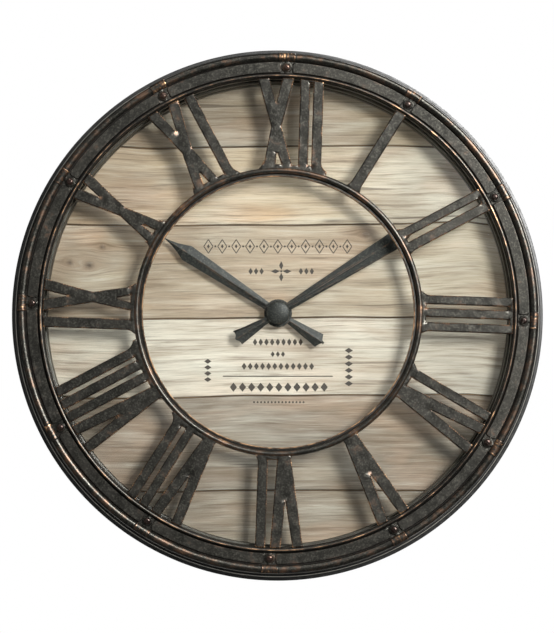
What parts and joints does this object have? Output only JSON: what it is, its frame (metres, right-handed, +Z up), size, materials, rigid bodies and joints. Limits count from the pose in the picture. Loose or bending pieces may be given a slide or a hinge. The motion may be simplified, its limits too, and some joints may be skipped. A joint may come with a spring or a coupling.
{
  "type": "wall clock",
  "caption": "Round wall clock: cast frame with openwork Roman numerals over a flat lens, plank dial, two leaf hands and a battery quartz movement behind the dial.",
  "frame": {"origin": "the nail seat of the hanger, at the top of its keyhole slot, on the wall plane", "axes": "+Y into the wall, so the dial faces -Y; +Z up through twelve on the dial; +X to the right of someone facing the dial"},
  "size_m": [0.22, 0.039, 0.22],
  "materials": {
    "aged_black": "cast resin, aged charcoal black, satin, with brown and copper rubbed edges",
    "hand_black": "stamped metal, satin charcoal black",
    "worn_copper": "small moulded screws, black rubbed through to a copper tone",
    "case_plastic": "dark moulded plastic",
    "plank_wood": "fibreboard dial faced with pale weathered planks",
    "lens_glass": "flat clear lens",
    "steel": "plated steel",
    "brass": "turned brass",
    "coil_copper": null,
    "rubber": "matte black rubber",
    "nylon": "white moulded gear plastic",
    "board": "green circuit board",
    "cell_jacket": "plain blue printed steel can"
  },
  "bodies": {
    "case": {"rear_case": "case_plastic", "case_screw_1": "steel", "case_screw_2": "steel", "case_screw_3": "steel", "case_screw_4": "steel", "hanger_plate": "steel", "hanger_screw_left": "steel", "hanger_screw_right": "steel", "bezel": "aged_black", "rim_screw_01": "worn_copper", "rim_screw_02": "worn_copper", "rim_screw_03": "worn_copper", "rim_screw_04": "worn_copper", "rim_screw_05": "worn_copper", "rim_screw_06": "worn_copper", "rim_screw_07": "worn_copper", "rim_screw_08": "worn_copper", "rim_screw_09": "worn_copper", "rim_screw_10": "worn_copper", "rim_screw_11": "worn_copper", "rim_screw_12": "worn_copper", "numeral_01": "aged_black", "numeral_02": "aged_black", "numeral_03": "aged_black", "numeral_04": "aged_black", "numeral_05": "aged_black", "numeral_06": "aged_black", "numeral_07": "aged_black", "numeral_08": "aged_black", "numeral_09": "aged_black", "numeral_10": "aged_black", "numeral_11": "aged_black", "numeral_12": "aged_black", "inner_ring": "aged_black", "lens": "lens_glass", "spacer_ring": "case_plastic", "dial_board": "plank_wood", "movement_case": "case_plastic", "movement_cover": "case_plastic", "tube_nut": "brass", "rubber_washer": "rubber", "circuit_board": "board", "stator": "steel", "coil": "coil_copper", "positive_contact": "steel", "negative_contact": "steel"},
    "minute": {"minute_hand": "hand_black", "hand_cap": "hand_black", "minute_arbor": "brass"},
    "hour": {"hour_hand": "hand_black", "hour_wheel": "nylon"},
    "reduction": {"reduction_wheel": "nylon"},
    "knob": {"setting_knob": "case_plastic"},
    "seconds": {"seconds_wheel": "nylon"},
    "third": {"third_wheel": "nylon"},
    "centre_drive": {"centre_drive_wheel": "nylon"},
    "intermediate": {"intermediate_wheel": "nylon"},
    "rotor": {"rotor": "steel"},
    "cell": {"cell": "cell_jacket"}
  },
  "joints": [
    {"name": "minute_spin", "type": "hinge", "parent": "case", "child": "minute", "pos_m": [0, -0.0283, -0.091], "axis": [0, 1, 0], "continuous": true},
    {"name": "hour_spin", "type": "hinge", "parent": "case", "child": "hour", "pos_m": [0, -0.0262, -0.091], "axis": [0, 1, 0], "continuous": true},
    {"name": "reduction_spin", "type": "hinge", "parent": "case", "child": "reduction", "pos_m": [-0.01159, -0.0139, -0.08789], "axis": [0, 1, 0], "continuous": true},
    {"name": "knob_spin", "type": "hinge", "parent": "case", "child": "knob", "pos_m": [-0.0193, -0.0139, -0.0787], "axis": [0, 1, 0], "continuous": true},
    {"name": "seconds_spin", "type": "hinge", "parent": "case", "child": "seconds", "pos_m": [0.01525, -0.0105, -0.08467], "axis": [0, 1, 0], "continuous": true},
    {"name": "third_spin", "type": "hinge", "parent": "case", "child": "third", "pos_m": [0.00567, -0.0115, -0.08118], "axis": [0, 1, 0], "continuous": true},
    {"name": "centre_drive_spin", "type": "hinge", "parent": "case", "child": "centre_drive", "pos_m": [0, -0.0127, -0.091], "axis": [0, 1, 0], "continuous": true},
    {"name": "intermediate_spin", "type": "hinge", "parent": "case", "child": "intermediate", "pos_m": [0.01682, -0.0093, -0.0758], "axis": [0, 1, 0], "continuous": true},
    {"name": "rotor_spin", "type": "hinge", "parent": "case", "child": "rotor", "pos_m": [0.00892, -0.0075, -0.07293], "axis": [0, 1, 0], "continuous": true},
    {"name": "cell_slide", "type": "slide", "parent": "case", "child": "cell", "axis": [0, 1, 0], "range_m": [0, 0.03]}
  ],
  "couplings": [
    {"joint": "hour_spin", "follows": "minute_spin", "ratio": 0.083333},
    {"joint": "reduction_spin", "follows": "minute_spin", "ratio": -0.33333},
    {"joint": "knob_spin", "follows": "minute_spin", "ratio": 1},
    {"joint": "intermediate_spin", "follows": "seconds_spin", "ratio": -5},
    {"joint": "rotor_spin", "follows": "seconds_spin", "ratio": 30},
    {"joint": "third_spin", "follows": "seconds_spin", "ratio": -0.13333},
    {"joint": "centre_drive_spin", "follows": "seconds_spin", "ratio": 0.016667}
  ]
}
